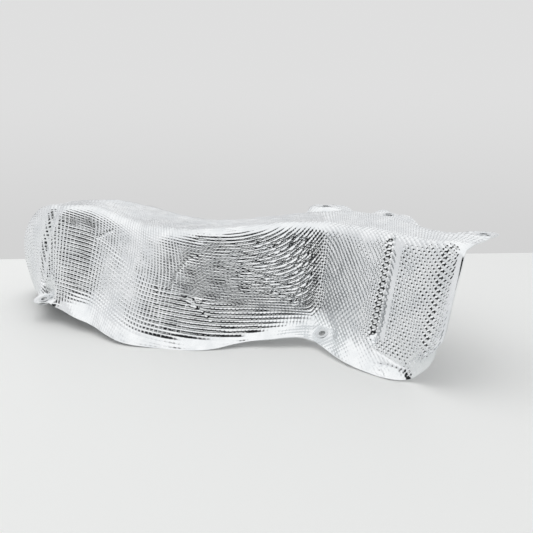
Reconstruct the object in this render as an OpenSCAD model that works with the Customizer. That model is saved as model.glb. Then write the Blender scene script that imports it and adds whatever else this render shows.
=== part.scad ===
// Exhaust manifold heat shield: a deep formed shell of two embossed aluminium sheets
// with an insulating mat pressed between them, bolted on through steel eyelets.
// It lies as it stands on a bench: flared flange in front, the hollow facing down
// and to the rear. X runs along the front wall, Y to the rear, Z up.

/* [Sheet stack] */
// Thickness of the outer embossed sheet
outer_t = 0.5; // [0.3:0.1:0.8]
// Thickness of the insulating mat
core_t = 0.8; // [0.5:0.1:1.2]
// Thickness of the inner embossed sheet
inner_t = 0.4; // [0.3:0.1:0.8]
// Free gap left between two layers
layer_gap = 0.05; // [0.02:0.01:0.1]
// How far the mat and the inner sheet stop short of the trimmed edge
edge_setback = 3.5; // [2:0.5:5]

/* [Eyelets] */
// Bolt clearance radius, for M6
bore_r = 3.3; // [2.7:0.1:4.5]
// Wall of the eyelet tube
eyelet_wall = 0.6; // [0.4:0.1:1]
// Radius of the eyelet head on the outer side
eyelet_head_r = 6; // [5.5:0.5:8]
// Radius of the rolled rim on the inner side
eyelet_rim_r = 5.2; // [4.8:0.1:6.5]
// Thickness of the head and of the rolled rim
eyelet_head_t = 0.5; // [0.3:0.1:1]
// Outer radius of the backing washer
washer_r = 8; // [7:0.5:10]
// Thickness of the backing washer
washer_t = 0.8; // [0.5:0.1:1.5]

/* [Resolution] */
// Cells along the shield
cells_along = 68; // [40:4:80]
// Cells across the shield, from the flange over the top to the rear
cells_across = 26; // [18:2:30]

/* [Hidden] */

sheet_color = [0.86, 0.87, 0.88];
inner_color = [0.78, 0.79, 0.80];
core_color = [0.80, 0.78, 0.72];
steel_color = [0.62, 0.63, 0.65];

// Free edge of the flared flange, from the left end to the lower right corner
flange_edge = [[-203, 40, 16], [-207, 28, 20], [-205, 12, 22], [-188, 12, 19],
               [-172, 4, 16], [-155, -13, 13], [-136, -22, 10], [-116, -44, 6],
               [-95, -60, 2], [-60, -66, 0], [-15, -75, 0], [24, -62, 6],
               [52, -64, 9], [74, -62, 11], [88, -64, 10], [95, -72, 7],
               [112, -102, 3], [125, -118, 2], [148, -138, 0], [160, -141, 0],
               [172, -142, 4], [180, -152, 16], [185, -158, 30]];
// Bend between the flange and the wall
flange_root = [[-208, 48, 15], [-203, 38, 26], [-197, 28, 28], [-186, 17, 29],
               [-171, 11, 29], [-155, 8, 28], [-137, 5, 26], [-113, -24, 20],
               [-88, -47, 15], [-60, -56, 14], [-18, -62, 13], [21, -57, 14],
               [56, -48, 18], [76, -40, 19], [90, -33, 19], [101, -38, 19],
               [120, -70, 20], [134, -90, 20], [152, -116, 21], [163, -132, 21],
               [174, -148, 24], [180, -157, 30], [185, -163, 40]];
// Rounded edge between the front wall and the top
shoulder = [[-232, 100, 12], [-243, 100, 60], [-222, 78, 104], [-195, 52, 117],
            [-172, 36, 119], [-152, 34, 119], [-132, 34, 115], [-98, 14, 104],
            [-73, -10, 104], [-48, -28, 106], [-15, -34, 107], [21, -24, 108],
            [58, -10, 109], [84, -4, 109], [104, -5, 109], [118, -22, 110],
            [138, -52, 112], [152, -70, 114], [170, -98, 115], [182, -115, 115],
            [194, -128, 117], [202, -138, 119], [207, -143, 118]];
// Rear limit of the top
rear_shoulder = [[-232, 135, 5], [-240, 138, 48], [-215, 135, 92], [-185, 110, 112],
                 [-162, 98, 116], [-140, 95, 118], [-115, 90, 118], [-88, 78, 116],
                 [-64, 64, 112], [-40, 48, 107], [-10, 36, 104], [21, 40, 104],
                 [58, 52, 106], [82, 58, 107], [104, 62, 108], [125, 60, 109],
                 [148, 45, 111], [168, 22, 113], [184, -26, 114], [194, -72, 115],
                 [206, -98, 117], [228, -104, 120], [250, -100, 118]];
// Free rear edge: on the bench round the left end, then up along the top
rear_edge = [[-212, 148, 0], [-208, 155, 0], [-190, 160, 0], [-168, 162, 0],
             [-145, 162, 0], [-120, 160, 0], [-95, 156, 0], [-70, 142, 10],
             [-50, 120, 40], [-28, 90, 78], [-2, 70, 95], [24, 66, 99],
             [58, 74, 104], [84, 76, 106], [106, 78, 107], [128, 74, 108],
             [150, 56, 110], [172, 30, 112], [188, -18, 114], [200, -58, 115],
             [214, -80, 117], [236, -84, 119], [250, -86, 117]];
// Rear ears: first and last station, then the reach of the ear
ears = [[13.5, 15.5, [0, 22, 4]],
        [16.6, 18.25, [3, 14, 4]]];
ear_side = 0.3;
ear_start = 7.6;

// Bolt places: centre on the outer face, outward normal, flat radius, fade radius
place_left = [[-194, 18, 23.5], [-0.15, -0.25, 0.96], 9, 17];
place_right = [[236, -98, 120], [0, 0.05, 1], 11, 22];
place_flange = [[99, -60, 13], [-0.3, -0.35, 0.9], 9, 18];
place_rear_left = [[112, 86, 112.5], [0, 0.05, 1], 12, 22];
place_rear_right = [[173, 24, 114.5], [-0.05, 0, 1], 11, 20];
places = [place_left, place_right, place_flange, place_rear_left, place_rear_right];

// Shift that brings the middle of the footprint to the origin
datum = [-6, 0, 0];

stations = len(flange_edge) - 1;
lanes = 9;
wall_low = 0.3;
wall_high = 0.7;
shoulder_crown = 3;
top_crown = 1;
rear_crown = 2;
rear_drop = 100;
max_pull = 0.8;
hole_gap = 0.1;
hole_r = bore_r + eyelet_wall + hole_gap;
core_top = outer_t + layer_gap;
core_bottom = core_top + core_t;
inner_top = core_bottom + layer_gap;
inner_bottom = inner_top + inner_t;
tool_len = 12;
eps = 0.01;

function unit(v) = v / norm(v);
function limit(x) = min(1, max(0, x));
function ease(a, b, x) = let (t = limit((x - a) / (b - a))) t * t * (3 - 2 * t);
function mix(a, b, t) = a + (b - a) * t;

// A list with one point added past each end, so that the curve starts on its first
function open_ends(c) = let (n = len(c))
    concat([2 * c[0] - c[1]], c, [2 * c[n - 1] - c[n - 2]]);

// Quadratic spline through opened points, at parameter t from 0 to the last index
function spline(c, t) =
    let (n = len(c) - 2)
    let (s = min(0.5 + t, n - 0.001))
    let (j = floor(s))
    let (f = s - j)
    let (b0 = (1 - f) * (1 - f) / 2)
    let (b2 = f * f / 2)
    c[j] * b0 + c[j + 1] * (1 - b0 - b2) + c[j + 2] * b2;

// Middle of the rear wall, pushed out to keep the wall full where it is tall
function rear_middle(h, q) =
    let (k = 0.5 + 0.25 * limit((h[2] - q[2]) / rear_drop))
    [mix(h[0], q[0], k), mix(h[1], q[1], k), mix(h[2], q[2], 0.5)];

net = [for (k = [0:lanes]) open_ends([for (i = [0:stations])
    let (e = flange_edge[i], r = flange_root[i], s = shoulder[i])
    let (h = rear_shoulder[i], q = rear_edge[i])
    k == 0 ? e :
    k == 1 ? r :
    k == 2 ? mix(r, s, wall_low) :
    k == 3 ? mix(r, s, wall_high) :
    k == 4 ? s + [0, 0, shoulder_crown] :
    k == 5 ? mix(s, h, 0.33) + [0, 0, top_crown] :
    k == 6 ? mix(s, h, 0.67) + [0, 0, top_crown] :
    k == 7 ? h + [0, 0, rear_crown] :
    k == 8 ? rear_middle(h, q) : q])];

// Shift that draws the rear edge out into an ear
function ear_shift(ear, u, v) =
    ear[2] * ease(ear[0] - ear_side, ear[0] + ear_side, u)
           * (1 - ease(ear[1] - ear_side, ear[1] + ear_side, u))
           * ease(ear_start, lanes, v);

// Point pulled onto the flat of a bolt place
function flatten(p, place) =
    let (n = unit(place[1]))
    let (d = p - place[0])
    let (h = d * n)
    let (q = norm(d - h * n))
    p - n * (h * (1 - ease(place[2], place[3], q)));

function flatten_all(p, k = 0) =
    k == len(places) ? p : flatten_all(flatten(p, places[k]), k + 1);

columns = [for (i = [0:cells_along])
    let (u = stations * i / cells_along)
    open_ends([for (k = [0:lanes]) spline(net[k], u)])];

grid = [for (i = [0:cells_along]) [for (j = [0:cells_across])
    let (u = stations * i / cells_along, v = lanes * j / cells_across)
    datum + flatten_all(spline(columns[i], v) + ear_shift(ears[0], u, v)
                        + ear_shift(ears[1], u, v))]];

function around(i, j) =
    let (i0 = max(0, i - 1), i1 = min(cells_along, i + 1))
    let (j0 = max(0, j - 1), j1 = min(cells_across, j + 1))
    unit(cross(grid[i1][j] - grid[i0][j], grid[i][j1] - grid[i][j0]));

normals = [for (i = [0:cells_along]) [for (j = [0:cells_across]) around(i, j)]];

// Step from a border point towards its neighbour, as far as the setback
function pull(a, b, setback) =
    let (d = b - a)
    d * min(max_pull, setback / max(norm(d), eps));

function trimmed(i, j, setback) =
    let (p = grid[i][j])
    p + (setback == 0 ? [0, 0, 0] :
        (i == 0 ? pull(p, grid[1][j], setback) : [0, 0, 0])
        + (i == cells_along ? pull(p, grid[i - 1][j], setback) : [0, 0, 0])
        + (j == 0 ? pull(p, grid[i][1], setback) : [0, 0, 0])
        + (j == cells_across ? pull(p, grid[i][j - 1], setback) : [0, 0, 0]));

// Indices of the border, once round
border = concat([for (i = [0:cells_along - 1]) [i, 0]],
                [for (j = [0:cells_across - 1]) [cells_along, j]],
                [for (i = [cells_along:-1:1]) [i, cells_across]],
                [for (j = [cells_across:-1:1]) [0, j]]);

// One sheet of the stack, between two depths below the outer face
module layer(top, bottom, setback) {
    rows = cells_across + 1;
    count = (cells_along + 1) * rows;
    loops = len(border);
    upper = [for (i = [0:cells_along]) for (j = [0:cells_across])
        trimmed(i, j, setback) - normals[i][j] * top];
    lower = [for (i = [0:cells_along]) for (j = [0:cells_across])
        trimmed(i, j, setback) - normals[i][j] * bottom];
    cells = [for (i = [0:cells_along - 1]) for (j = [0:cells_across - 1]) i * rows + j];
    faces_up = [for (a = cells) each [[a, a + 1, a + rows + 1],
                                      [a, a + rows + 1, a + rows]]];
    faces_down = [for (a = cells) each [[a + count, a + count + rows + 1, a + count + 1],
                                        [a + count, a + count + rows,
                                         a + count + rows + 1]]];
    rim = [for (k = [0:loops - 1])
        let (a = border[k][0] * rows + border[k][1])
        let (m = border[(k + 1) % loops])
        let (b = m[0] * rows + m[1])
        each [[a, b, b + count], [a, b + count, a + count]]];
    polyhedron(points = concat(upper, lower), faces = concat(faces_up, faces_down, rim));
}

// Children moved to a bolt place, with +Z along its normal
module at_place(place) {
    n = unit(place[1]);
    translate(datum + place[0])
        rotate([0, acos(n[2]), atan2(n[1], n[0])])
            children();
}

module bolt_holes() {
    for (place = places)
        at_place(place)
            translate([0, 0, -tool_len / 2])
                cylinder(r = hole_r, h = tool_len, $fn = 48);
}

// Tube through the stack, with a head outside and a rolled rim behind the washer
module eyelet(place) {
    tube_r = bore_r + eyelet_wall;
    back = inner_bottom + washer_t;
    color(steel_color)
        at_place(place)
            difference() {
                union() {
                    translate([0, 0, -back])
                        cylinder(r = tube_r, h = back + eyelet_head_t, $fn = 64);
                    cylinder(r = eyelet_head_r, h = eyelet_head_t, $fn = 64);
                    translate([0, 0, -back - eyelet_head_t])
                        cylinder(r = eyelet_rim_r, h = eyelet_head_t, $fn = 64);
                }
                translate([0, 0, -tool_len / 2])
                    cylinder(r = bore_r, h = tool_len, $fn = 64);
            }
}

module washer(place) {
    color(steel_color)
        at_place(place)
            translate([0, 0, -inner_bottom - washer_t])
                difference() {
                    cylinder(r = washer_r, h = washer_t, $fn = 64);
                    translate([0, 0, -eps])
                        cylinder(r = hole_r, h = washer_t + 2 * eps, $fn = 64);
                }
}

module outer_skin() {
    color(sheet_color)
        difference() {
            layer(0, outer_t, 0);
            bolt_holes();
        }
}

module insulation_core() {
    color(core_color)
        difference() {
            layer(core_top, core_bottom, edge_setback);
            bolt_holes();
        }
}

module inner_skin() {
    color(inner_color)
        difference() {
            layer(inner_top, inner_bottom, edge_setback);
            bolt_holes();
        }
}

module eyelet_left_lug() { eyelet(place_left); }
module eyelet_right_lug() { eyelet(place_right); }
module eyelet_flange() { eyelet(place_flange); }
module eyelet_rear_left() { eyelet(place_rear_left); }
module eyelet_rear_right() { eyelet(place_rear_right); }
module washer_left_lug() { washer(place_left); }
module washer_right_lug() { washer(place_right); }
module washer_flange() { washer(place_flange); }
module washer_rear_left() { washer(place_rear_left); }
module washer_rear_right() { washer(place_rear_right); }

outer_skin();
insulation_core();
inner_skin();
eyelet_left_lug();
eyelet_right_lug();
eyelet_flange();
eyelet_rear_left();
eyelet_rear_right();
washer_left_lug();
washer_right_lug();
washer_flange();
washer_rear_left();
washer_rear_right();
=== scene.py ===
import math

import bmesh
import bpy
import numpy as np
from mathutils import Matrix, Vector


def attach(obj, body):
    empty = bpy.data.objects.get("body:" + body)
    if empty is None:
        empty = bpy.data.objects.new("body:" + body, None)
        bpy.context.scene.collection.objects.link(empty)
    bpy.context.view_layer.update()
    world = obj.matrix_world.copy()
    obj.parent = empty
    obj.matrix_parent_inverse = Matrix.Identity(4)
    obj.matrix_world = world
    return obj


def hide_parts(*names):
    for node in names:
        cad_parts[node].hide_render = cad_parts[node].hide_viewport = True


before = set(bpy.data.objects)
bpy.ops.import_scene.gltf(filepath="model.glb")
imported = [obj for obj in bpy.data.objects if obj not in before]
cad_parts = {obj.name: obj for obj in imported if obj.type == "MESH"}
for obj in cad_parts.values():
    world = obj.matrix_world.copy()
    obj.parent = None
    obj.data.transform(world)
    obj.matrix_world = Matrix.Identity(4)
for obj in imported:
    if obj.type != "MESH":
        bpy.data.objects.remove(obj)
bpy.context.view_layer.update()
mm = 0.001

camera = {"place": (39, -700, 252), "down": 15, "lens": 47.28, "sensor": 36}


def makeCamera(c):
    data = bpy.data.cameras.new("camera")
    data.lens = c["lens"]
    data.sensor_width = c["sensor"]
    data.clip_start = 0.01
    cam = bpy.data.objects.new("camera", data)
    cam.location = [v * mm for v in c["place"]]
    cam.rotation_euler = (math.radians(90 - c["down"]), 0, 0)
    bpy.context.scene.collection.objects.link(cam)
    bpy.context.scene.camera = cam


makeCamera(camera)

# The formed sheet: five rails from its front edge to its rear edge, in millimetres,
# the same as the solid model's
sheet = {
    "flangeEdge": [
        (-203, 40, 16), (-207, 28, 20), (-205, 12, 22), (-188, 12, 19), (-172, 4, 16),
        (-155, -13, 13), (-136, -22, 10), (-116, -44, 6), (-95, -60, 2), (-60, -66, 0),
        (-15, -75, 0), (24, -62, 6), (52, -64, 9), (74, -62, 11), (88, -64, 10),
        (95, -72, 7), (112, -102, 3), (125, -118, 2), (148, -138, 0), (160, -141, 0),
        (172, -142, 4), (180, -152, 16), (185, -158, 30),
    ],
    "flangeRoot": [
        (-208, 48, 15), (-203, 38, 26), (-197, 28, 28), (-186, 17, 29), (-171, 11, 29),
        (-155, 8, 28), (-137, 5, 26), (-113, -24, 20), (-88, -47, 15), (-60, -56, 14),
        (-18, -62, 13), (21, -57, 14), (56, -48, 18), (76, -40, 19), (90, -33, 19),
        (101, -38, 19), (120, -70, 20), (134, -90, 20), (152, -116, 21), (163, -132, 21),
        (174, -148, 24), (180, -157, 30), (185, -163, 40),
    ],
    "shoulder": [
        (-232, 100, 12), (-243, 100, 60), (-222, 78, 104), (-195, 52, 117), (-172, 36, 119),
        (-152, 34, 119), (-132, 34, 115), (-98, 14, 104), (-73, -10, 104), (-48, -28, 106),
        (-15, -34, 107), (21, -24, 108), (58, -10, 109), (84, -4, 109), (104, -5, 109),
        (118, -22, 110), (138, -52, 112), (152, -70, 114), (170, -98, 115),
        (182, -115, 115), (194, -128, 117), (202, -138, 119), (207, -143, 118),
    ],
    "rearShoulder": [
        (-232, 135, 5), (-240, 138, 48), (-215, 135, 92), (-185, 110, 112), (-162, 98, 116),
        (-140, 95, 118), (-115, 90, 118), (-88, 78, 116), (-64, 64, 112), (-40, 48, 107),
        (-10, 36, 104), (21, 40, 104), (58, 52, 106), (82, 58, 107), (104, 62, 108),
        (125, 60, 109), (148, 45, 111), (168, 22, 113), (184, -26, 114), (194, -72, 115),
        (206, -98, 117), (228, -104, 120), (250, -100, 118),
    ],
    "rearEdge": [
        (-212, 148, 0), (-208, 155, 0), (-190, 160, 0), (-168, 162, 0), (-145, 162, 0),
        (-120, 160, 0), (-95, 156, 0), (-70, 142, 10), (-50, 120, 40), (-28, 90, 78),
        (-2, 70, 95), (24, 66, 99), (58, 74, 104), (84, 76, 106), (106, 78, 107),
        (128, 74, 108), (150, 56, 110), (172, 30, 112), (188, -18, 114), (200, -58, 115),
        (214, -80, 117), (236, -84, 119), (250, -86, 117),
    ],
    "ears": [(13.5, 15.5, (0, 22, 4)), (16.6, 18.25, (3, 14, 4))],
    "earSide": 0.3,
    "earStart": 7.6,
    "datum": (-6, 0, 0),
    # bolt places: centre, normal, flat radius, fade radius
    "places": [
        ((-194, 18, 23.5), (-0.15, -0.25, 0.96), 9, 17),
        ((236, -98, 120), (0, 0.05, 1), 11, 22),
        ((99, -60, 13), (-0.3, -0.35, 0.9), 9, 18),
        ((112, 86, 112.5), (0, 0.05, 1), 12, 22),
        ((173, 24, 114.5), (-0.05, 0, 1), 11, 20),
    ],
    "holeRadius": 4.8,
    "stations": 22,
    "lanes": 9,
    "ticks": 20,  # ruler marks to each station and each lane
}


def ease(a, b, x):
    t = np.clip((np.asarray(x, float) - a) / (b - a), 0, 1)
    return t * t * (3 - 2 * t)


def mix(a, b, t):
    return a + (b - a) * t


def openEnds(c):
    return np.concatenate([2 * c[:1] - c[1:2], c, 2 * c[-1:] - c[-2:-1]])


def splineAt(count, t):
    # which three points of the opened list a parameter uses, and their weights
    s = np.minimum(0.5 + t, count - 0.001)
    j = s.astype(int)
    f = s - j
    b0 = (1 - f) ** 2 / 2
    b2 = f * f / 2
    return j, (b0, 1 - b0 - b2, b2)


def makeNet(d):
    e, r, s, h, q = [
        np.array(d[k], float)
        for k in ("flangeEdge", "flangeRoot", "shoulder", "rearShoulder", "rearEdge")
    ]
    full = np.clip((h[:, 2] - q[:, 2]) / 100, 0, 1) * 0.25 + 0.5
    middle = mix(h, q, 0.5)
    middle[:, :2] = mix(h[:, :2], q[:, :2], full[:, None])
    up = np.array([0, 0, 1.0])
    rows = [e, r, mix(r, s, 0.3), mix(r, s, 0.7), s + 3 * up, mix(s, h, 0.33) + up,
            mix(s, h, 0.67) + up, h + 2 * up, middle, q]
    return np.array([openEnds(row) for row in rows])


net = makeNet(sheet)


def unit(v):
    return v / np.maximum(np.linalg.norm(v, axis=-1, keepdims=True), 1e-9)


def sheetPoints(u, v):
    # points of the smooth formed sheet, in millimetres
    j, w = splineAt(sheet["stations"] + 1, u)
    lanes = sum(net[:, j + k] * w[k][None, :, None] for k in range(3))
    lanes = np.concatenate([2 * lanes[:1] - lanes[1:2], lanes, 2 * lanes[-1:] - lanes[-2:-1]])
    i, w = splineAt(sheet["lanes"] + 1, v)
    n = np.arange(len(u))
    p = sum(lanes[i + k, n] * w[k][:, None] for k in range(3))
    side = sheet["earSide"]
    for first, last, reach in sheet["ears"]:
        grow = (ease(first - side, first + side, u) * (1 - ease(last - side, last + side, u))
                * ease(sheet["earStart"], sheet["lanes"], v))
        p = p + grow[:, None] * np.array(reach)
    for centre, normal, flat, fade in sheet["places"]:
        axis = unit(np.array(normal, float))
        d = p - np.array(centre, float)
        h = d @ axis
        q = np.linalg.norm(d - h[:, None] * axis, axis=1)
        p = p - (h * (1 - ease(flat, fade, q)))[:, None] * axis
    return p + np.array(sheet["datum"], float)


def sheetNormals(u, v, step=0.02):
    s, l = sheet["stations"], sheet["lanes"]
    du = sheetPoints(np.minimum(u + step, s), v) - sheetPoints(np.maximum(u - step, 0), v)
    dv = sheetPoints(u, np.minimum(v + step, l)) - sheetPoints(u, np.maximum(v - step, 0))
    return unit(np.cross(du, dv))


def makeRuler():
    # running lengths along and across the sheet, so that patterns keep their real size
    ticks = sheet["ticks"]
    columns, rows = sheet["stations"] * ticks + 1, sheet["lanes"] * ticks + 1
    us = np.linspace(0, sheet["stations"], columns)
    vs = np.linspace(0, sheet["lanes"], rows)
    uu, vv = np.meshgrid(us, vs, indexing="ij")
    p = sheetPoints(uu.ravel(), vv.ravel()).reshape(columns, rows, 3)
    midWall = p[:, int(2.5 * ticks)]
    along = np.concatenate([[0], np.cumsum(np.linalg.norm(np.diff(midWall, axis=0), axis=1))])
    gaps = np.linalg.norm(np.diff(p, axis=1), axis=2)
    across = np.concatenate([np.zeros((columns, 1)), np.cumsum(gaps, axis=1)], axis=1)
    across = across - across[:, ticks:ticks + 1]  # zero on the root of the flange
    gaps = np.linalg.norm(np.diff(p, axis=0), axis=2)
    fromLeft = np.concatenate([np.zeros((1, rows)), np.cumsum(gaps, axis=0)])
    return {"u": us, "v": vs, "along": along, "across": across, "fromLeft": fromLeft,
            "fromRight": fromLeft[-1:] - fromLeft}


ruler = makeRuler()
print("ruler ready")


def measure(name, u, v):
    # one of the ruler's tables at any place on the sheet
    a, ticks = ruler[name], sheet["ticks"]
    x = np.clip(u * ticks, 0, a.shape[0] - 1.001)
    y = np.clip(v * ticks, 0, a.shape[1] - 1.001)
    i, j = x.astype(int), y.astype(int)
    f, g = x - i, y - j
    return ((a[i, j] * (1 - f) + a[i + 1, j] * f) * (1 - g)
            + (a[i, j + 1] * (1 - f) + a[i + 1, j + 1] * f) * g)


def lengths(u, v):
    return np.interp(u, ruler["u"], ruler["along"]), measure("across", u, v)


# Embossing: one rounded dimple to each 4.1 mm square of the blank
dimples = {
    "pitch": 4.1,
    "height": 1.4,
    "sink": 0.38,
    "pit": 0.45,
    "pitWidth": 0.95,
    "pitFrom": 470,
    "tilt": -7,
    "fold": (404, 0),  # the corner where the blank was gathered, along and across
    "fanFrom": 15,
    "fanTo": 90,
    "fanTurn": 52,
    "onFlange": 0.3,
    "edgeFade": 2.2,
    "uneven": 0.14,  # share by which the dimples' height wanders
}


def roundFold(s, t):
    # distance in millimetres and angle in degrees round the gathered corner
    x, y = s - dimples["fold"][0], t - dimples["fold"][1]
    angle = np.degrees(np.arctan2(y, -x))
    return np.hypot(x, y), np.where(angle < -90, angle + 360, angle)


def blankCoordinates(s, t):
    # where each point lay on the flat blank: the fold squeezes a fan of it together
    r, angle = roundFold(s, t)
    gather = np.clip((angle - dimples["fanFrom"]) / (dimples["fanTo"] - dimples["fanFrom"]), 0, 1)
    turned = np.radians(angle + dimples["fanTurn"] * gather + dimples["tilt"])
    return -r * np.cos(turned), r * np.sin(turned)


def ripples(s, t, wave, count, start):
    # a sum of a few waves in different directions: soft, irregular and repeatable
    total = np.zeros_like(s)
    for k in range(count):
        a = start + 2.4 * k
        w = wave * (0.8 + 0.4 * ((k * 0.618) % 1))
        total += np.sin(2 * math.pi / w * (s * math.cos(a) + t * math.sin(a)) + 1.7 * k * k)
    return total / math.sqrt(count)


def toLine(s, t, points):
    # distance to a broken line, and how far along it, 0 to 1
    best = np.full_like(s, 1e9)
    along = np.zeros_like(s)
    for n, (a, b) in enumerate(zip(points, points[1:])):
        a, d = np.array(a, float), np.array(b, float) - np.array(a, float)
        k = np.clip(((s - a[0]) * d[0] + (t - a[1]) * d[1]) / (d @ d), 0, 1)
        far = np.hypot(s - a[0] - k * d[0], t - a[1] - k * d[1])
        closer = far < best
        best = np.where(closer, far, best)
        along = np.where(closer, (n + k) / (len(points) - 1), along)
    return best, along


# Creases and dents, in millimetres along and across the sheet: line, half width, and
# depth, where less than nothing stands up
marks = [
    ([(238, 50), (241, 28), (245, 5)], 1.6, 0.8),
    ([(252, 36), (258, 56), (268, 70), (282, 76)], 1.8, 0.6),
    ([(268, 34), (276, 26), (284, 22), (296, 8)], 1.5, 0.7),
    ([(270, 24), (280, 32), (290, 26)], 1.3, -0.6),
    ([(145, 66), (155, 74), (165, 81)], 1.5, 1.0),
    ([(277, 89), (285, 88)], 2.6, 1.2),
    ([(286, 96), (300, 92)], 2.0, -0.5),
    ([(496, -7), (520, -10), (541, -12)], 1.1, 0.9),
    ([(495, -21), (508, -17), (525, -15)], 1.5, 0.9),
    ([(502, -25), (508, -25)], 1.5, 0.8),
    ([(536, -8), (545, -2), (551, 4)], 1.6, 0.9),
    ([(484, 92), (490, 98), (496, 97)], 1.8, -0.9),
    ([(514, -29), (530, -27), (547, -24), (562, -17)], 7.0, -3.2),
    ([(100, 92), (82, 62), (62, 14)], 5.5, 4.0),
    ([(110, 90), (93, 60), (75, 14)], 4.5, -1.3),
]

panel = {
    "grooveFrom": 484.5, "grooveAt": 492, "grooveTo": 497, "grooveDepth": 4.6,
    "ridgeAt": 502, "ridgeHeight": 1.3, "ridgeWidth": 6.5,
    "low": 2, "high": 98, "smoothFrom": 495, "smoothTo": 509, "smoothLoss": 0.8,
    "stepAt": 552, "stepDepth": 3.0, "stepWidth": 9,
    "rollWidth": 1.6, "rollDepth": 0.4, "bareWidth": 7, "bareLoss": 0.85,
}

fan = {"depth": 0.3, "from": 18, "to": 88, "wave": 6.5, "near": 12, "far": 150, "crush": 0.35}

# Slow waves all over the sheet, from forming and handling: length and height in millimetres
waves = {"long": 42, "longHeight": 0.28, "short": 17, "shortHeight": 0.12}


def relief(u, v):
    # larger shapes pressed or knocked into the sheet, as a height in millimetres
    s, t = lengths(u, v)
    r, angle = roundFold(s, t)
    h = waves["longHeight"] * ripples(s, t, waves["long"], 5, 0.4)
    h = h + waves["shortHeight"] * ripples(s, t, waves["short"], 6, 1.1)
    for line, width, depth in marks:
        d, k = toLine(s, t, line)
        h -= depth * np.exp(-(d / width) ** 2) * (0.55 + 0.45 * np.sin(math.pi * k))
    g = panel
    length = ease(g["low"] - 6, g["low"] + 6, t) * (1 - ease(g["high"] - 5, g["high"] + 5, t))
    fall = ease(g["grooveFrom"], g["grooveAt"], s) - ease(g["grooveAt"], g["grooveTo"], s)
    h -= g["grooveDepth"] * fall * length
    h += g["ridgeHeight"] * np.exp(-((s - g["ridgeAt"]) / g["ridgeWidth"]) ** 2) * length
    width = g["stepWidth"] / 2
    onWall = ease(-4, 4, t) * (1 - ease(88, 100, t))
    h -= g["stepDepth"] * ease(g["stepAt"] - width, g["stepAt"] + width, s) * onWall
    fromEnd = measure("fromRight", u, v)
    onWall = ease(-14, 2, t) * (1 - ease(92, 104, t))
    h -= g["rollDepth"] * np.clip(1 - fromEnd / g["rollWidth"], 0, 1) ** 2 * onWall
    f = fan
    phase = 2 * math.pi * angle / f["wave"] + 1.9 * np.sin(r / 17 + angle / 9)
    phase = phase + 1.4 * np.sin(angle / 5.3 + r / 40)
    reach = ease(f["near"] - 8, f["near"] + 25, r) * (1 - ease(f["far"] - 70, f["far"], r))
    sector = ease(f["from"], f["from"] + 18, angle) * (1 - ease(f["to"] - 10, f["to"], angle))
    onWall = ease(0, 10, t) * (1 - ease(78, 96, t))
    gathered = 0.6 + 0.5 * ripples(s, t, 31, 4, 0.9)
    h += f["depth"] * np.sin(phase) * reach * sector * onWall * gathered
    h += f["crush"] * ripples(s, t, 8, 6, 0.2) * reach * sector * onWall
    return h * quiet(u, v, 9, 15)


def quiet(u, v, inner, outer):
    # 0 on the flats under the eyelets, 1 away from them
    p = sheetPoints(u, v) - np.array(sheet["datum"], float)
    k = np.ones_like(u)
    for centre, normal, *_ in sheet["places"]:
        axis = unit(np.array(normal, float))
        d = p - np.array(centre, float)
        q = np.linalg.norm(d - (d @ axis)[:, None] * axis, axis=1)
        near = np.abs(d @ axis) < 15
        k = np.where(near, k * ease(inner, outer, q), k)
    return k


def dome(x):
    # broad and full across one cell, steep towards the crease between two cells
    return 1 - np.abs(2 * (x - np.round(x))) ** 3


def fromEdges(u, v):
    # distance to the nearest trimmed edge
    t = measure("across", u, v)
    low = measure("across", u, np.zeros_like(v))
    high = measure("across", u, np.full_like(v, sheet["lanes"]))
    ends = np.minimum(measure("fromLeft", u, v), measure("fromRight", u, v))
    return np.minimum(np.minimum(t - low, high - t), ends)


def emboss(u, v):
    s, t = lengths(u, v)
    a, b = blankCoordinates(s, t)
    w = dimples["pitch"]
    h = 0.5 * (dome(a / w) + dome(b / w)) * (1 + dimples["uneven"] * ripples(a, b, 23, 4, 2.0))
    corner = w * np.hypot((a / w) % 1 - 0.5, (b / w) % 1 - 0.5)  # where four dimples meet
    pit = dimples["pit"] * ease(dimples["pitFrom"], dimples["pitFrom"] + 15, s)
    h -= pit * np.exp(-(corner / dimples["pitWidth"]) ** 2)
    k = ease(0, dimples["edgeFade"], fromEdges(u, v) - 0.6)
    k = k * mix(dimples["onFlange"], 1, ease(-9, -2, t))
    g = panel
    onRidge = ease(g["smoothFrom"], g["smoothFrom"] + 3, s)
    onRidge = onRidge * (1 - ease(g["smoothTo"] - 4, g["smoothTo"], s))
    onRidge = onRidge * ease(0, 8, t) * (1 - ease(92, 100, t))
    bare = 1 - ease(g["bareWidth"] - 2, g["bareWidth"] + 1, measure("fromRight", u, v))
    bare = bare * (1 - ease(92, 104, t))
    k = k * (1 - g["smoothLoss"] * onRidge) * (1 - g["bareLoss"] * bare)
    return (dimples["height"] * h - dimples["sink"]) * k * quiet(u, v, 8.5, 13)


def makeGrid(bm, columns, rows, level):
    made = bmesh.ops.create_grid(bm, x_segments=columns, y_segments=rows, size=0.5)
    for vert in made["verts"]:
        vert.co.z = level
    return made["verts"]


def openLoops(bm, level):
    # closed runs of border edges on one level of the blank
    edges = {e for e in bm.edges if len(e.link_faces) == 1 and abs(e.verts[0].co.z - level) < 0.1}
    loops = []
    while edges:
        start = edges.pop()
        run, front = [start], [start.verts[0], start.verts[1]]
        while front:
            vert = front.pop()
            for e in vert.link_edges:
                if e in edges:
                    edges.remove(e)
                    run.append(e)
                    front.append(e.other_vert(vert))
        loops.append(run)
    return loops


def loopSpan(run):
    # middle and size of a loop on the blank
    xs = [vert.co.x for e in run for vert in e.verts]
    ys = [vert.co.y for e in run for vert in e.verts]
    low, high = Vector((min(xs), min(ys))), Vector((max(xs), max(ys)))
    return (low + high) / 2, (high - low).length


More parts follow.
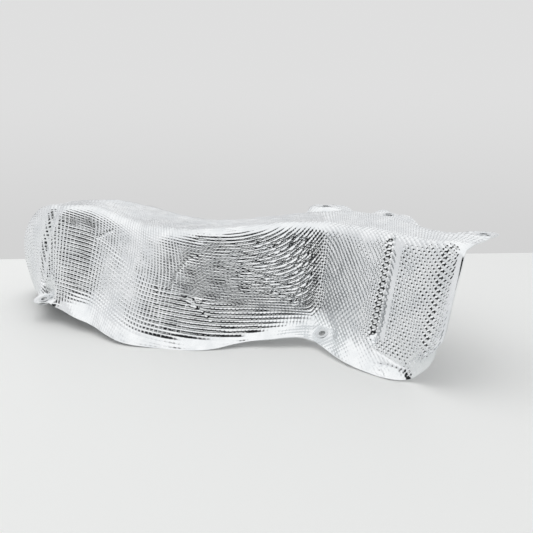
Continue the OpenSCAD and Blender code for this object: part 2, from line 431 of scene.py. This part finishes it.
def makeSheet(name, layer, first, last, material):
    # a closed sheet: one fine face, one coarse, joined round the rim and round the holes
    run = np.interp([first, last], ruler["u"], ruler["along"])
    rows = ruler["across"][int(first * sheet["ticks"]):int(last * sheet["ticks"]) + 1]
    rows = rows - rows[:, :1]
    length, depth = run[1] - run[0], np.quantile(rows[:, -1], 0.75)
    spacing = (rows / rows[:, -1:]).mean(axis=0)
    bm = bmesh.new()
    makeGrid(bm, int(length / layer["fine"]), int(depth / layer["fine"]), 0)
    under = makeGrid(bm, int(length / layer["coarse"]), int(depth / layer["coarse"]), -1)
    turn = {f for vert in under for f in vert.link_faces}
    if not layer["faceOut"]:
        turn = set(bm.faces) - turn
    bmesh.ops.reverse_faces(bm, faces=list(turn))
    bm.verts.ensure_lookup_table()
    co = np.array([vert.co for vert in bm.verts])
    x, y, fineFace = co[:, 0] + 0.5, co[:, 1] + 0.5, co[:, 2] > -0.5
    back = layer["setback"]
    s = np.clip(mix(run[0], run[1], x), back, ruler["along"][-1] - back)
    u = np.clip(np.interp(s, ruler["along"], ruler["u"]), 0, sheet["stations"])
    v = np.interp(y, spacing, ruler["v"])
    if back:
        low = measure("across", u, np.zeros_like(v))
        high = measure("across", u, np.full_like(v, sheet["lanes"]))
        pull = back / np.maximum(high - low, 1) * sheet["lanes"]
        v = np.clip(v, pull, sheet["lanes"] - pull)
    p, n = sheetPoints(u, v), sheetNormals(u, v)
    lift = relief(u, v)
    if layer["emboss"]:
        lift = lift + np.where(fineFace, layer["emboss"] * emboss(u, v), 0)
    hem = layer["hem"] * (1 - ease(1.5, 3.5, fromEdges(u, v))) if layer["hem"] else 0
    lift = lift - np.where(fineFace, layer["fineAt"], layer["coarseAt"] + hem)
    p = p + n * lift[:, None]
    p[:, 2] = np.maximum(p[:, 2], 0)
    placed = p - np.array(sheet["datum"], float)
    inHole = np.zeros(len(p), bool)
    for centre, normal, *_ in sheet["places"]:
        axis = unit(np.array(normal, float))
        d = placed - np.array(centre, float)
        h = d @ axis
        q = np.linalg.norm(d - h[:, None] * axis, axis=1)
        inHole |= (q < sheet["holeRadius"]) & (np.abs(h) < 8)
    drop = [vert for vert in bm.verts if inHole[vert.index]]
    keep = np.flatnonzero(~inHole)
    bmesh.ops.delete(bm, geom=drop, context="VERTS")
    bm.verts.ensure_lookup_table()
    faces, backs = openLoops(bm, 0), openLoops(bm, -1)
    for e in [edge for loop in faces + backs for edge in loop]:
        e.smooth = False
    for loop in faces:
        middle, size = loopSpan(loop)
        mate = min(backs, key=lambda other: (loopSpan(other)[0] - middle).length
                   + abs(loopSpan(other)[1] - size))
        bmesh.ops.bridge_loops(bm, edges=loop + mate)
    mesh = bpy.data.meshes.new(name)
    bm.to_mesh(mesh)
    bm.free()
    mesh.vertices.foreach_set("co", (p[keep] * mm).astype(np.float32).ravel())
    mesh.polygons.foreach_set("use_smooth", [True] * len(mesh.polygons))
    mesh.update()
    mesh.materials.append(material)
    obj = bpy.data.objects.new(name, mesh)
    bpy.context.scene.collection.objects.link(obj)
    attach(obj, "root")
    return obj


def srgb(hexText):
    # sRGB hex to linear
    parts = [int(hexText[i:i + 2], 16) / 255 for i in (1, 3, 5)]
    return tuple(c / 12.92 if c <= 0.04045 else ((c + 0.055) / 1.055) ** 2.4 for c in parts) + (1,)


def addNode(tree, kind, settings=None, values=None, links=None):
    # one node, with its settings, its input values and what feeds it
    node = tree.nodes.new(kind)
    for key, value in (settings or {}).items():
        setattr(node, key, value)
    for key, value in (values or {}).items():
        node.inputs[key].default_value = value
    for key, source in (links or {}).items():
        tree.links.new(source, node.inputs[key])
    return node


def newMaterial(name):
    m = bpy.data.materials.new(name)
    m.use_nodes = True
    tree = m.node_tree
    shader = tree.nodes["Principled BSDF"]
    return m, tree, shader


def rolledAluminium(name, tone, dull, rough):
    # bright rolled aluminium foil sheet: near mirror, with fine rolling lines and handling haze
    m, tree, shader = newMaterial(name)
    coords = addNode(tree, "ShaderNodeTexCoord")
    haze = addNode(tree, "ShaderNodeTexNoise", {}, {"Scale": 45, "Detail": 4, "Roughness": 0.6},
                   {"Vector": coords.outputs["Object"]})
    grit = addNode(tree, "ShaderNodeTexNoise", {}, {"Scale": 900, "Detail": 2},
                   {"Vector": coords.outputs["Object"]})
    tint = addNode(tree, "ShaderNodeValToRGB", {}, {}, {"Fac": haze.outputs["Fac"]})
    tint.color_ramp.elements[0].position = 0.35
    tint.color_ramp.elements[0].color = srgb(dull)
    tint.color_ramp.elements[1].position = 0.62
    tint.color_ramp.elements[1].color = srgb(tone)
    gloss = addNode(tree, "ShaderNodeMapRange", {}, {"From Min": 0.3, "From Max": 0.7,
                    "To Min": rough[0], "To Max": rough[1]}, {"Value": haze.outputs["Fac"]})
    bump = addNode(tree, "ShaderNodeBump", {}, {"Strength": 0.25, "Distance": 0.00008},
                   {"Height": grit.outputs["Fac"]})
    shader.inputs["Metallic"].default_value = 1
    tree.links.new(tint.outputs["Color"], shader.inputs["Base Color"])
    tree.links.new(gloss.outputs["Result"], shader.inputs["Roughness"])
    tree.links.new(bump.outputs["Normal"], shader.inputs["Normal"])
    return m


brightSheet = rolledAluminium("brightRolledAluminium", "#f1f3f4", "#e3e6e8", (0.08, 0.15))
innerSheet = rolledAluminium("millRolledAluminium", "#dfe1e2", "#cccfd1", (0.22, 0.34))


def fibreMat():
    # pressed mineral fibre: matt, off white, with short tangled fibres
    m, tree, shader = newMaterial("pressedMineralFibre")
    coords = addNode(tree, "ShaderNodeTexCoord")
    fibres = addNode(tree, "ShaderNodeTexNoise", {}, {"Scale": 700, "Detail": 6, "Distortion": 1.5},
                     {"Vector": coords.outputs["Object"]})
    tone = addNode(tree, "ShaderNodeValToRGB", {}, {}, {"Fac": fibres.outputs["Fac"]})
    tone.color_ramp.elements[0].color = srgb("#a8a294")
    tone.color_ramp.elements[1].color = srgb("#dcd7ca")
    bump = addNode(tree, "ShaderNodeBump", {}, {"Strength": 0.6, "Distance": 0.0002},
                   {"Height": fibres.outputs["Fac"]})
    shader.inputs["Roughness"].default_value = 0.95
    tree.links.new(tone.outputs["Color"], shader.inputs["Base Color"])
    tree.links.new(bump.outputs["Normal"], shader.inputs["Normal"])
    return m


def zincSteel():
    # zinc plated steel, pressed and turned: grey, satin, with a cloudy plating
    m, tree, shader = newMaterial("zincPlatedSteel")
    coords = addNode(tree, "ShaderNodeTexCoord")
    cloud = addNode(tree, "ShaderNodeTexNoise", {}, {"Scale": 160, "Detail": 3},
                    {"Vector": coords.outputs["Object"]})
    tone = addNode(tree, "ShaderNodeValToRGB", {}, {}, {"Fac": cloud.outputs["Fac"]})
    tone.color_ramp.elements[0].color = srgb("#d2d5d7")
    tone.color_ramp.elements[1].color = srgb("#e9ebec")
    gloss = addNode(tree, "ShaderNodeMapRange", {}, {"To Min": 0.26, "To Max": 0.42},
                    {"Value": cloud.outputs["Fac"]})
    shader.inputs["Metallic"].default_value = 1
    tree.links.new(tone.outputs["Color"], shader.inputs["Base Color"])
    tree.links.new(gloss.outputs["Result"], shader.inputs["Roughness"])
    return m


steel = zincSteel()
mat = fibreMat()

outerLayer = {
    "cuts": [0, 5, 9, 13, 18.3, 22], "fine": 0.72, "coarse": 2.6, "fineAt": 0, "coarseAt": 0.5,
    "faceOut": True, "emboss": 1, "hem": 0.7, "setback": 0,
    "node": "outer_skin", "slot": "outer_sheet",
}
matLayer = {
    "cuts": [0, 11, 22], "fine": 2.2, "coarse": 2.6, "fineAt": 0.56, "coarseAt": 1.34,
    "faceOut": True, "emboss": 0, "hem": 0, "setback": 3.5,
    "node": "insulation_core", "slot": "mat",
}
innerLayer = {
    "cuts": [0, 9, 13, 22], "fine": 1.1, "coarse": 2.6, "fineAt": 1.9, "coarseAt": 1.41,
    "faceOut": False, "emboss": -0.6, "hem": 0, "setback": 3.5,
    "node": "inner_skin", "slot": "inner_sheet",
}


def makeLayer(layer, title, material):
    for n, (first, last) in enumerate(zip(layer["cuts"], layer["cuts"][1:])):
        part = makeSheet(f"{title}{n + 1}", layer, first, last, material)
        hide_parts(layer["node"])
        print(part.name, sum(len(f.vertices) - 2 for f in part.data.polygons))


makeLayer(outerLayer, "outerSheet", brightSheet)
makeLayer(matLayer, "fibreMat", mat)
makeLayer(innerLayer, "innerSheet", innerSheet)

for name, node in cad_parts.items():
    if name.startswith(("eyelet", "washer")):
        node.data.materials.clear()
        node.data.materials.append(steel)

studio = {"backAt": (38, 300), "backTurn": 2.85, "tableSize": 6000, "tableTone": "#f3f4f3",
          "tableRoughness": 0.55}


def makeStage(s):
    # a pale table: its far edge is the only line behind the object
    half = s["tableSize"] / 2 * mm
    turn = math.radians(s["backTurn"])
    bm = bmesh.new()
    bmesh.ops.create_grid(bm, x_segments=1, y_segments=1, size=half)
    mesh = bpy.data.meshes.new("table")
    bm.to_mesh(mesh)
    bm.free()
    table = bpy.data.objects.new("table", mesh)
    table.rotation_euler = (0, 0, turn)
    table.location = (s["backAt"][0] * mm + half * math.sin(turn),
                      s["backAt"][1] * mm - half * math.cos(turn), 0)
    bpy.context.scene.collection.objects.link(table)
    m, _, shader = newMaterial("paleTable")
    shader.inputs["Base Color"].default_value = srgb(s["tableTone"])
    shader.inputs["Roughness"].default_value = s["tableRoughness"]
    mesh.materials.append(m)


makeStage(studio)
print("table ready")


room = {
    "walls": 0.84, "ceiling": 1.06, "dark": 0.02,
    "darkTo": (0.139, -0.990), "darkEdge": (0.36, 0.54), "darkTop": (0.48, 0.64),
    "ceilingFrom": (0.50, 0.80), "seenLow": 0.65, "seenHigh": 0.74, "onMatt": 0.70,
}


def makeWorld(r):
    # a pale room, bright overhead, dark only where the viewer stands
    world = bpy.data.worlds.new("room")
    world.use_nodes = True
    bpy.context.scene.world = world
    tree = world.node_tree
    coords = addNode(tree, "ShaderNodeTexCoord")
    way = coords.outputs["Generated"]
    flat = addNode(tree, "ShaderNodeVectorMath", {"operation": "MULTIPLY"}, {1: (1, 1, 0)},
                   {0: way})
    level = addNode(tree, "ShaderNodeVectorMath", {"operation": "NORMALIZE"}, {},
                    {0: flat.outputs[0]})
    facing = addNode(tree, "ShaderNodeVectorMath", {"operation": "DOT_PRODUCT"},
                     {1: (r["darkTo"][0], r["darkTo"][1], 0)}, {0: level.outputs[0]})
    split = addNode(tree, "ShaderNodeSeparateXYZ", {}, {}, {0: way})
    soft = {"interpolation_type": "SMOOTHSTEP"}
    across = addNode(tree, "ShaderNodeMapRange", soft,
                     {"From Min": r["darkEdge"][0], "From Max": r["darkEdge"][1]},
                     {"Value": facing.outputs["Value"]})
    above = addNode(tree, "ShaderNodeMapRange", soft,
                    {"From Min": r["darkTop"][0], "From Max": r["darkTop"][1],
                     "To Min": 1, "To Max": 0}, {"Value": split.outputs["Z"]})
    dark = addNode(tree, "ShaderNodeMath", {"operation": "MULTIPLY"}, {},
                   {0: across.outputs[0], 1: above.outputs[0]})
    overhead = addNode(tree, "ShaderNodeMapRange", soft,
                       {"From Min": r["ceilingFrom"][0], "From Max": r["ceilingFrom"][1]},
                       {"Value": split.outputs["Z"]})
    c, w, d = r["ceiling"], r["walls"], r["dark"]
    pale = addNode(tree, "ShaderNodeMix", {"data_type": "RGBA"},
                   {6: (w, w, w * 1.01, 1), 7: (c, c, c, 1)}, {0: overhead.outputs[0]})
    shade = addNode(tree, "ShaderNodeMix", {"data_type": "RGBA"}, {7: (d, d * 1.05, d * 1.1, 1)},
                    {0: dark.outputs[0], 6: pale.outputs[2]})
    low, high, matt = r["seenLow"], r["seenHigh"], r["onMatt"]
    # the backdrop that camera rays see, with painted shade: darker towards its foot, where a wall
    # would meet the table
    backdropWithPaintedShade = addNode(tree, "ShaderNodeMapRange", soft, {"From Min": -0.25, "From Max": 0.0,
                   "To Min": low, "To Max": high}, {"Value": split.outputs["Z"]})
    path = addNode(tree, "ShaderNodeLightPath")
    lit = addNode(tree, "ShaderNodeMix", {"data_type": "RGBA"}, {7: (matt, matt, matt, 1)},
                  {0: path.outputs["Is Diffuse Ray"], 6: shade.outputs[2]})
    sky = addNode(tree, "ShaderNodeMix", {"data_type": "RGBA"}, {},
                  {0: path.outputs["Is Camera Ray"], 6: lit.outputs[2], 7: backdropWithPaintedShade.outputs[0]})
    tree.links.new(sky.outputs[2], tree.nodes["Background"].inputs["Color"])


def makeLight(name, place, aim, size, power):
    data = bpy.data.lights.new(name, "AREA")
    data.shape = "RECTANGLE"
    data.size, data.size_y = size
    data.energy = power
    light = bpy.data.objects.new(name, data)
    light.location = place
    light.rotation_euler = (Vector(aim) - Vector(place)).to_track_quat("-Z", "Y").to_euler()
    light.visible_glossy = False  # the room is what the metal mirrors
    bpy.context.scene.collection.objects.link(light)


makeWorld(room)
print("room ready")
makeLight("ceiling", (-0.4, 0.1, 1.35), (0, 0, 0), (1.6, 1.6), 6.4)
bpy.context.scene.view_settings.view_transform = "Standard"
